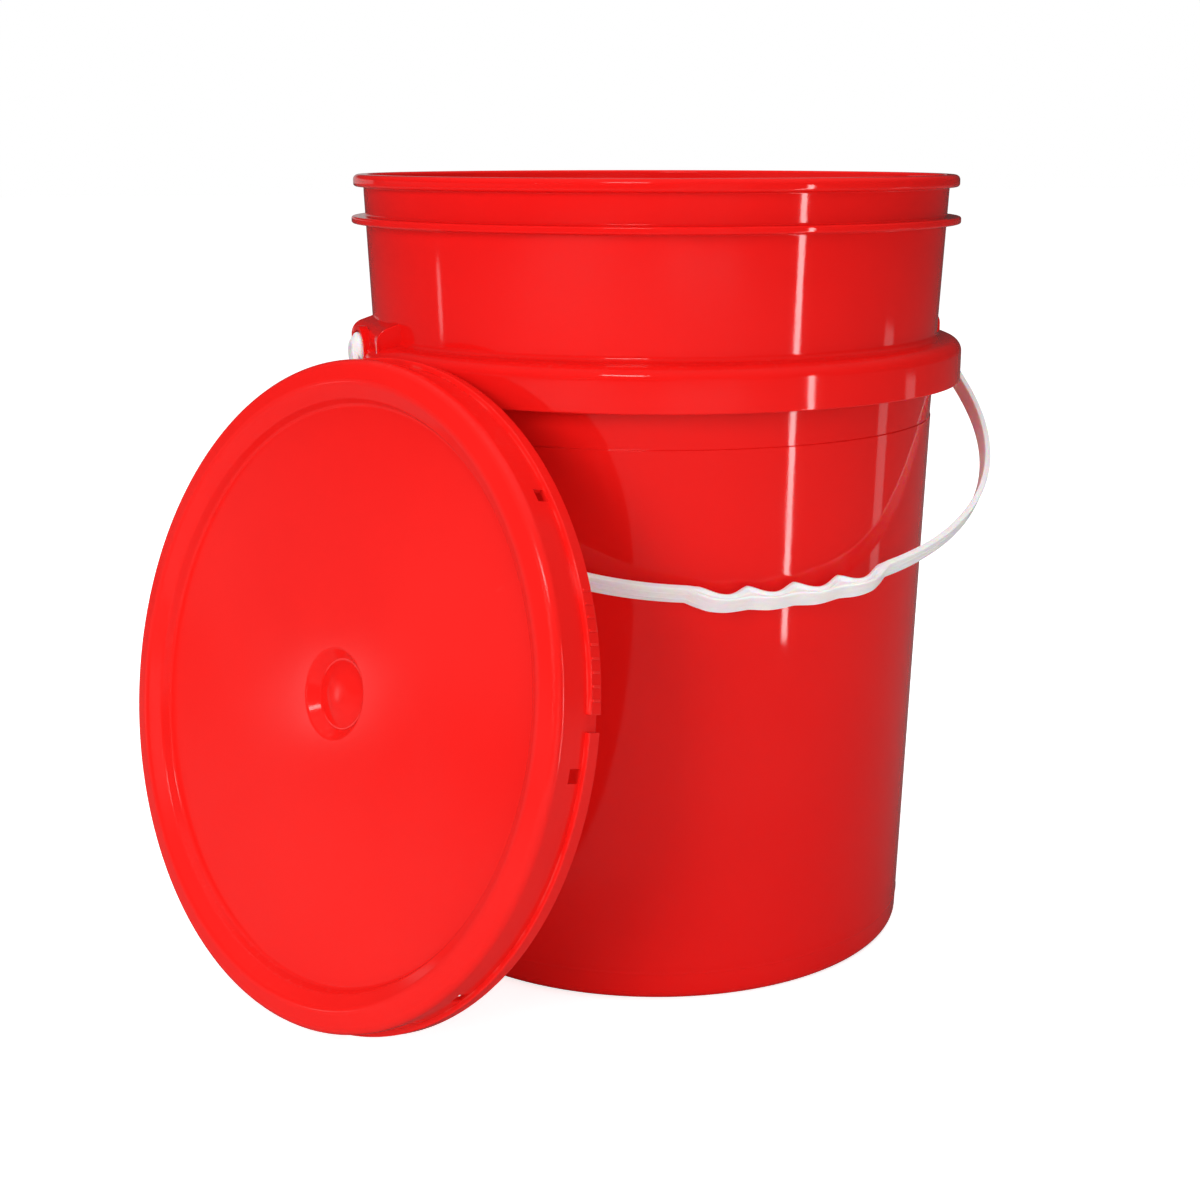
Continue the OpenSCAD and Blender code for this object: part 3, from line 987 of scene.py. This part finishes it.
@dataclass
class Bail:
    """The white bail: a grooved strap, a grip with finger places, and two round eyes with studs."""

    pivot_z: float = 304 * MM
    hang: float = math.radians(34.90)
    hoop_x: float = 160.1 * MM
    bow: float = 2.8 * MM
    bow_at: float = 44 * MM
    hoop_s: float = 175.15 * MM
    power: float = 2.22
    strap_w: float = 9.2 * MM
    strap_t: float = 3 * MM
    grip_l: float = 104 * MM
    grip_aside: float = 11 * MM
    pitch: float = 23.2 * MM
    finger_d: float = 4.8 * MM
    grip_d: float = 7.9 * MM
    swell: float = 1.2 * MM
    rise: float = 11 * MM
    lip_d: float = 3.4 * MM
    flange: float = 1.8 * MM
    lip_half: float = 5 * MM
    eye_r: float = 9.5 * MM
    ear_x: float = 152 * MM
    face_gap: float = 0.3 * MM
    stud_r: float = 4.95 * MM
    head_r: float = 6.2 * MM
    head_t: float = 3.5 * MM
    ear_t: float = 2.2 * MM
    strap_in: float = 155.8 * MM
    segments: int = 64
    leg_steps: int = 12
    arc_steps: int = 60
    grip_steps: int = 170

    def hoop_at(self, x: float) -> float:
        """Gives the hoop's distance from the pivots at a place across the pail."""
        inside = 1 - min(abs(x) / self.hoop_x, 1) ** self.power
        return self.bow_at + (self.hoop_s - self.bow_at) * inside ** (1 / self.power)

    def dip(self, x: float) -> float:
        """Gives the depth of the finger places at x, from 0 on a crest to 1."""
        u = x - self.grip_aside
        if abs(u) > 2 * self.pitch:
            return 0.0
        return abs(math.sin(math.pi * u / self.pitch)) ** 1.4

    def in_grip(self, x: float) -> float:
        """Gives 0 on the strap and 1 on the full grip, with a smooth rise between."""
        t = (self.grip_l / 2 - abs(x - self.grip_aside)) / self.rise
        return math.sin(math.pi / 2 * min(max(t, 0.0), 1.0))

    def path(self) -> list[Point]:
        """Lists the stations of the bail's middle line from the left pivot to the right one.

        Returns:
            Each station as x and distance from the pivots.
        """
        leg = [
            (self.hoop_x - self.bow * (1 - i / self.leg_steps) ** 2, self.bow_at * i / self.leg_steps)
            for i in range(self.leg_steps)
        ]
        low, high = self.grip_aside - self.grip_l / 2, self.grip_aside + self.grip_l / 2
        curve = [
            self.hoop_x * math.cos(math.pi / 2 * i / self.arc_steps) for i in range(self.arc_steps + 1)
        ]
        xs = {-x for x in curve if -x < low - MM} | {x for x in curve if x > high + MM}
        xs |= {-x for x in curve if -x > high + MM} | {x for x in curve if x < low - MM}
        xs |= {low + (high - low) * i / self.grip_steps for i in range(self.grip_steps + 1)}
        middle = [(x, self.hoop_at(x)) for x in sorted(xs)]
        return [(-x, s) for x, s in leg] + middle + [(x, s) for x, s in reversed(leg)]

    def section(self, x: float, on_leg: bool) -> list[Point]:
        """Gives the bail's section at a station.

        Args:
            x: Place across the pail.
            on_leg: Whether the station is on a straight leg, clear of the grip.

        Returns:
            Points round the section, as depth from the middle line (outwards) and width.
        """
        grip = 0.0 if on_leg else self.in_grip(x)
        dip = 0.0 if on_leg else self.dip(x)
        near = -self.strap_t / 2 + self.finger_d * dip * min(1, 3 * grip)
        far = self.strap_t / 2 + (self.grip_d - self.strap_t + self.swell * dip) * grip
        deep = far - near
        lip = min(self.lip_d, 0.62 * deep)
        flange = min(self.flange, 0.25 * deep)
        half = self.strap_w / 2
        plain = [
            (0, 0.86), (0.07, 0.96), (0.22, 1), (0.4, 1), (0.5, 1),
            (0.6, 1), (0.78, 1), (0.93, 0.96), (1, 0.86),
        ]
        waist = 0.80 if deep > self.lip_d + self.flange else 0.90
        shaped = [
            (0, 0.62), (0.10 * lip, 0.84), (0.35 * lip, 1.02), (0.62 * lip, self.lip_half / half),
            (0.9 * lip, 1.0), (lip + 0.35 * (deep - flange - lip), waist),
            (deep - flange, 0.93), (deep - flange * 0.4, 1.0), (deep, 0.88),
        ]
        side = []
        for (f, h), (d, g) in zip(plain, shaped):
            depth = f * deep * (1 - grip) + d * grip
            side.append((near + depth, half * (h * (1 - grip) + g * grip)))
        ribs = [
            (0.55, 0), (0.42, 0), (0.35, -0.5), (0.28, 0), (0.12, 0),
            (-0.12, 0), (-0.28, 0), (-0.35, -0.5), (-0.42, 0), (-0.55, 0),
        ]
        back = [(far + r * MM * (1 - grip * 0.7), half * w) for w, r in ribs]
        front = [(near, half * w * (1 - 0.3 * grip)) for w in (-0.55, -0.2, 0.2, 0.55)]
        return side + back + [(d, -w) for d, w in reversed(side)] + front

    def strap(self) -> bpy.types.Object:
        """Shapes a long grid round the bail's path, from one pivot to the other.

        Returns:
            The strap with its grip, in the bail's own plane.
        """
        path = self.path()
        around = len(self.section(0, False))
        bpy.ops.mesh.primitive_grid_add(
            x_subdivisions=around, y_subdivisions=len(path) - 1, size=1, location=(0, 0, 0)
        )
        obj = named("bail")
        points = obj.data.vertices
        for i, (x, s) in enumerate(path):
            before, after = path[max(i - 1, 0)], path[min(i + 1, len(path) - 1)]
            along = Vector((after[0] - before[0], after[1] - before[1])).normalized()
            out = Vector((-along.y, along.x))
            section = self.section(x, s < self.bow_at)
            if self.in_grip(x) > 0 and s >= self.bow_at:
                out = Vector((0, 1))
            for k in range(around + 1):
                depth, width = section[k % around]
                points[i * (around + 1) + k].co = (x + out.x * depth, -(s + out.y * depth), width)
        with editing(obj):
            bpy.ops.mesh.select_all(action="SELECT")
            bpy.ops.mesh.remove_doubles(threshold=TINY)
            bpy.ops.mesh.select_all(action="DESELECT")
            bpy.ops.mesh.select_non_manifold()
            bpy.ops.mesh.edge_face_add()
        return clean(obj)

    def eye(self) -> bpy.types.Object:
        """Turns the round eye with its stud and head, on the +X side.

        Returns:
            The eye.
        """
        face = self.ear_x + self.face_gap
        top = self.strap_in + self.strap_t
        head = self.ear_x - self.ear_t - self.face_gap
        outline = rounded([
            (0, top, 0), (self.eye_r - 4 * MM, top, 2 * MM), (self.eye_r, self.strap_in, 1.5 * MM),
            (self.eye_r, face, 0.3 * MM), (self.stud_r, face, 0), (self.stud_r, head, 0),
            (self.head_r, head, 0.5 * MM), (self.stud_r, head - self.head_t, 0.8 * MM),
            (0, head - self.head_t, 0),
        ])
        return placed(turned("eye", outline, self.segments), Matrix.Rotation(math.pi / 2, 4, "Y"))

    def build(self) -> bpy.types.Object:
        """Models the bail and hangs it on the pail.

        Returns:
            The bail.
        """
        bail = cut(self.strap(), Cut.ADD, copied(self.eye(), (0, math.pi)))
        place = Matrix.Translation((0, 0, self.pivot_z)) @ Matrix.Rotation(self.hang, 4, "X")
        return smooth(clean(placed(bail, place)))


# ---------------------------------------------------------------- lid


@dataclass
class Lid:
    """The press-on lid with its tear band, leaning on the pail."""

    lid_in_r: float = 152 * MM
    lid_r: float = 154 * MM
    depth: float = 24 * MM
    panel: float = -9 * MM
    under: float = -11 * MM
    well_r: float = 133.8 * MM
    rings: tuple[float, ...] = (45 * MM, 75 * MM, 105 * MM)
    slope_r: float = 142.8 * MM
    channel_r: float = 141.8 * MM
    roof: float = 3 * MM
    crown_fall: float = 1.6 * MM
    dimple_r: float = 21 * MM
    dimple_d: float = 4.8 * MM
    dimple_side: float = 4.5 * MM
    dome_r: float = 15.4 * MM
    dome_h: float = 2.6 * MM
    windows: int = 8
    window_from: float = 44.2
    window_half: float = 3.15 * MM
    window_top: float = -11.5 * MM
    window_sill: float = 0.4 * MM
    catch_lift: float = 0.6 * MM
    catch_in: float = 2.2 * MM
    catch_h: float = 2.4 * MM
    band_r: float = 156.4 * MM
    band_top: float = -17.8 * MM
    band_t: float = 1.8 * MM
    bridge: float = 1.2 * MM
    notch_w: float = 7.3 * MM
    notch_at: float = 97.3
    ridges: int = 9
    ridge_pitch: float = 2.1
    ridge_out: float = 0.5 * MM
    ridge_w: float = 1.2 * MM
    centre: tuple[float, float, float] = (-196.9 * MM, -80.6 * MM, 157.9 * MM)
    lean: float = 12.3
    bearing: float = -155.4
    segments: int = 240

    def place(self) -> Matrix:
        """Gives where the lid leans, from its own crown-up frame."""
        return (
            Matrix.Translation(self.centre)
            @ Matrix.Rotation(math.radians(self.bearing), 4, "Z")
            @ Matrix.Rotation(math.radians(90 - self.lean), 4, "Y")
        )

    def at(self, obj: bpy.types.Object, degrees: Sequence[float]) -> bpy.types.Object:
        """Copies a part of the lid round to the angles given in degrees."""
        return copied(obj, [math.radians(d) for d in degrees])

    def shell(self) -> bpy.types.Object:
        """Turns the lid's crown, channel, panel, dimple and skirt.

        Returns:
            The closed shell.
        """
        deep = self.panel - self.dimple_d
        return turned("lid_shell", rounded([
            (0, deep + self.dome_h, 0),
            (0.45 * self.dome_r, deep + self.dome_h, 0.9 * self.dome_r),
            (self.dome_r, deep, 0.3 * MM),
            (self.dimple_r - self.dimple_side, deep, 0.3 * MM),
            (self.dimple_r, self.panel, 2 * MM),
            *((ring, self.panel, 0) for ring in self.rings),
            (self.well_r, self.panel, 2 * MM),
            (self.well_r + 2 * MM, self.panel / 2, 2.5 * MM),
            (self.slope_r, 0, 6 * MM),
            (self.lid_r - 0.2 * MM, -self.crown_fall, 4.5 * MM),
            (self.lid_r, self.band_top, 0),
            (self.lid_r, -self.depth, 0.5 * MM),
            (self.lid_in_r, -self.depth, 0.5 * MM),
            (self.lid_in_r, -self.roof, 1.2 * MM),
            (self.channel_r, -self.roof, 2 * MM),
            (self.well_r + 4 * MM, self.panel / 2 - 2 * MM, 2.5 * MM),
            (self.well_r + 2 * MM, self.under, 2 * MM),
            *((ring, self.under, 0) for ring in reversed(self.rings)),
            (self.dimple_r + 1 * MM, self.under, 3 * MM),
            (self.dimple_r + 1 * MM - self.dimple_side, self.under - self.dimple_d, 1 * MM),
            (0, self.under - self.dimple_d, 0),
        ]), self.segments)

    def build_lid(self) -> bpy.types.Object:
        """Models the lid with its windows and the catches above them.

        Returns:
            The lid, leaning.
        """
        angles = [self.window_from + i * 360 / self.windows for i in range(self.windows)]
        low = self.window_top + self.catch_lift
        catch = box(
            (self.lid_in_r - self.catch_in, -self.window_half, low),
            (self.lid_in_r + PAST, self.window_half, low + self.catch_h), "catch",
        )
        eased(catch, 0.5 * MM)
        window = box(
            (self.lid_in_r - PAST, -self.window_half, self.band_top + self.window_sill),
            (self.lid_r + PAST, self.window_half, self.window_top), "window",
        )
        lid = cut(self.shell(), Cut.ADD, self.at(catch, angles))
        cut(lid, Cut.TAKE, self.at(window, angles))
        return smooth(clean(placed(lid, self.place())))

    def build_band(self) -> bpy.types.Object:
        """Models the tear band with its gap and the ridged tab.

        Returns:
            The band, leaning.
        """
        shelf = self.band_top - self.bridge
        inside = self.band_r - self.band_t
        band = turned("band", rounded([
            (self.lid_r, self.band_top, 0), (self.band_r, self.band_top, 0.8 * MM),
            (self.band_r, -self.depth, 0.5 * MM), (inside, -self.depth, 0.3 * MM),
            (inside, shelf, 0.3 * MM), (self.lid_r, shelf, 0),
        ]), self.segments)
        ridge = box(
            (inside + 0.4 * MM, -self.ridge_w / 2, 1 * MM - self.depth),
            (self.band_r + self.ridge_out, self.ridge_w / 2, self.band_top - 1 * MM), "ridge",
        )
        eased(ridge, 0.3 * MM)
        first = self.notch_at + math.degrees(self.notch_w / 2 / self.band_r) + self.ridge_pitch
        cut(band, Cut.ADD, self.at(ridge, [first + i * self.ridge_pitch for i in range(self.ridges)]))
        gap = box(
            (self.lid_r - PAST, -self.notch_w / 2, -self.depth - PAST),
            (self.band_r + PAST, self.notch_w / 2, self.band_top + PAST), "gap",
        )
        cut(band, Cut.TAKE, self.at(gap, [self.notch_at]))
        return smooth(clean(placed(band, self.place())))


# ---------------------------------------------------------------- studio


class Lights(Enum):
    """What a light does: fill the piece with light, or show only as a highlight."""

    FILL = "fill"
    SHINE = "shine"


@dataclass(frozen=True)
class SoftLight:
    """An area light that faces a point."""

    name: str
    place: tuple[float, float, float]
    target: tuple[float, float, float]
    width: float
    height: float
    watts: float
    does: Lights = Lights.FILL

    def build(self) -> None:
        """Adds the light."""
        light = bpy.data.lights.new(self.name, "AREA")
        light.shape = "RECTANGLE"
        light.size, light.size_y, light.energy = self.width, self.height, self.watts
        lamp = bpy.data.objects.new(self.name, light)
        lamp.location = self.place
        aim = Vector(self.target) - Vector(self.place)
        lamp.rotation_euler = aim.to_track_quat("-Z", "Y").to_euler()
        lamp.visible_camera = False
        lamp.visible_glossy = self.does is Lights.SHINE
        lamp.visible_diffuse = self.does is Lights.FILL
        bpy.context.scene.collection.objects.link(lamp)


@dataclass
class Studio:
    """The camera, a pale floor and soft lights."""

    eye: tuple[float, float, float] = (-0.3565, -0.88238, 0.40053)
    forward: tuple[float, float, float] = (0.33737, 0.91059, -0.23876)
    up: tuple[float, float, float] = (0.08257, 0.22403, 0.97108)
    lens: float = 55.24
    sensor: float = 36
    ambient: float = 0.33
    floor_colour: tuple[float, float, float] = (0.84, 0.84, 0.84)
    floor_in_gloss: tuple[float, float, float] = (0.18, 0.18, 0.18)
    floor_lift: float = 0.78
    lights: list[SoftLight] = field(default_factory=lambda: [
        SoftLight("key", (-2.3, -1.7, 1.2), (0, 0, 0.15), 1.4, 1.4, 42),
        SoftLight("overhead", (0.0, 0.1, 2.4), (0, 0, 0), 2.4, 2.4, 38),
        SoftLight("front", (-0.2, -2.6, 0.5), (0, 0, 0.15), 1.2, 0.9, 11),
        SoftLight("strip", (0.30, -0.55, 0.20), (0.01, -0.144, 0.20), 0.024, 0.37, 0.30, Lights.SHINE),
        SoftLight("ledge glint", (-0.75, -1.15, 1.35), (-0.05, -0.14, 0.31), 0.42, 0.2, 2.2, Lights.SHINE),
        SoftLight("lid spot", (-1.54, 0.585, 0.12), (-0.197, -0.081, 0.158), 0.05, 0.09, 0.03, Lights.SHINE),
        SoftLight("right band", (0.80, -0.20, 0.11), (0.07, -0.13, 0.14), 0.08, 0.21, 0.04, Lights.SHINE),
    ])

    def camera(self) -> None:
        """Adds the camera and makes it the scene's own."""
        data = bpy.data.cameras.new("camera")
        data.lens, data.sensor_width, data.clip_start = self.lens, self.sensor, 0.01
        camera = bpy.data.objects.new("camera", data)
        ahead, up = Vector(self.forward).normalized(), Vector(self.up).normalized()
        right = ahead.cross(up)
        turn = Matrix((right, up, -ahead)).transposed().to_4x4()
        camera.matrix_world = Matrix.Translation(self.eye) @ turn
        bpy.context.scene.collection.objects.link(camera)
        bpy.context.scene.camera = camera

    def floor(self) -> None:
        """Adds the pale floor."""
        bpy.ops.object.select_all(action="DESELECT")
        bpy.ops.mesh.primitive_plane_add(size=30, location=(0, 0, -0.0005))
        floor = named("floor")
        settle()
        made, w = blank("pale floor")
        path = w.add("LightPath").outputs
        seen = w.sum("MULTIPLY", path["Is Camera Ray"], self.floor_lift)
        colour = w.mixed(path["Is Glossy Ray"], (*self.floor_colour, 1), (*self.floor_in_gloss, 1))
        matt = w.add("BsdfDiffuse", Color=colour)
        lift = w.add("Emission", Strength=seen)
        both = w.add("AddShader")
        w.put(matt.outputs[0], both.inputs[0])
        w.put(lift.outputs[0], both.inputs[1])
        w.put(both.outputs[0], w.add("OutputMaterial").inputs["Surface"])
        dress(floor, made)

    def sky(self) -> None:
        """Sets a white surround that shows in gloss only as a pale wall, a ceiling and a side panel."""
        world = bpy.data.worlds.new("white surround")
        world.use_nodes = True
        world.node_tree.nodes.clear()
        w = Wiring(world.node_tree)
        path = w.add("LightPath").outputs
        way = w.add("TexCoord").outputs["Generated"]
        height = w.add("SeparateXYZ", Vector=way).outputs["Z"]
        flat = w.add("VectorMath", {"operation": "MULTIPLY"})
        w.put(way, flat.inputs[0])
        w.put((1, 1, 0), flat.inputs[1])
        compass = w.add("VectorMath", {"operation": "NORMALIZE"})
        w.put(flat.outputs["Vector"], compass.inputs[0])
        low = w.between(height, 0.06, 0.16, 1.0, 0.0)
        gloss: object = w.between(height, 0.3, 0.9, 0.04, 0.16)
        for heading, start, full, level in (
            ((0, 1, 0), 0.87, 0.89, 0.34), ((-0.98, 0.2, 0), 0.6, 0.95, 0.12),
        ):
            toward = w.add("VectorMath", {"operation": "DOT_PRODUCT"})
            w.put(compass.outputs["Vector"], toward.inputs[0])
            w.put(heading, toward.inputs[1])
            panel = w.between(toward.outputs["Value"], start, full, 0.0, level)
            gloss = w.sum("ADD", gloss, w.sum("MULTIPLY", panel, low))
        plain = w.add("Mix", {"data_type": "FLOAT"})
        w.put(path["Is Diffuse Ray"], plain.inputs[0])
        w.put(gloss, plain.inputs[2])
        w.put(self.ambient, plain.inputs[3])
        level = w.sum("MAXIMUM", plain.outputs[0], path["Is Camera Ray"])
        back = w.add("Background", Strength=level)
        back.inputs["Color"].default_value = (1, 1, 1, 1)
        out = w.add("OutputWorld")
        w.put(back.outputs["Background"], out.inputs["Surface"])
        bpy.context.scene.world = world

    def build(self) -> None:
        """Sets up the whole studio."""
        bpy.context.scene.view_settings.view_transform = "Standard"
        self.camera()
        self.floor()
        self.sky()
        for light in self.lights:
            light.build()


def main() -> None:
    """Builds every piece and the studio round the frame."""
    logging.basicConfig(level=logging.INFO, format="%(name)s: %(message)s")
    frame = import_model()
    groups = SkinGroups()
    red, lid_red, white = (f.material(groups) for f in (RED, LID_RED, WHITE))

    body = PailBody().build()
    dress(body, red)
    hand_over(body, Body.PAIL, "pail_plastic", "pail")

    bail = Bail().build()
    dress(bail, white)
    hand_over(bail, Body.BAIL, "bail_plastic", "bail_handle")

    lid_maker = Lid()
    lid = lid_maker.build_lid()
    dress(lid, lid_red)
    hand_over(lid, Body.LID, "lid_plastic", "lid")
    band = lid_maker.build_band()
    dress(band, lid_red)
    hand_over(band, Body.LID, "lid_plastic", "tear_band")

    dress(frame["nodes"]["lid_gasket"], FoamFinish().material())
    log.info("lid_gasket keeps its solid and gets the foam finish")

    Studio().build()


if __name__ == "__main__":
    main()
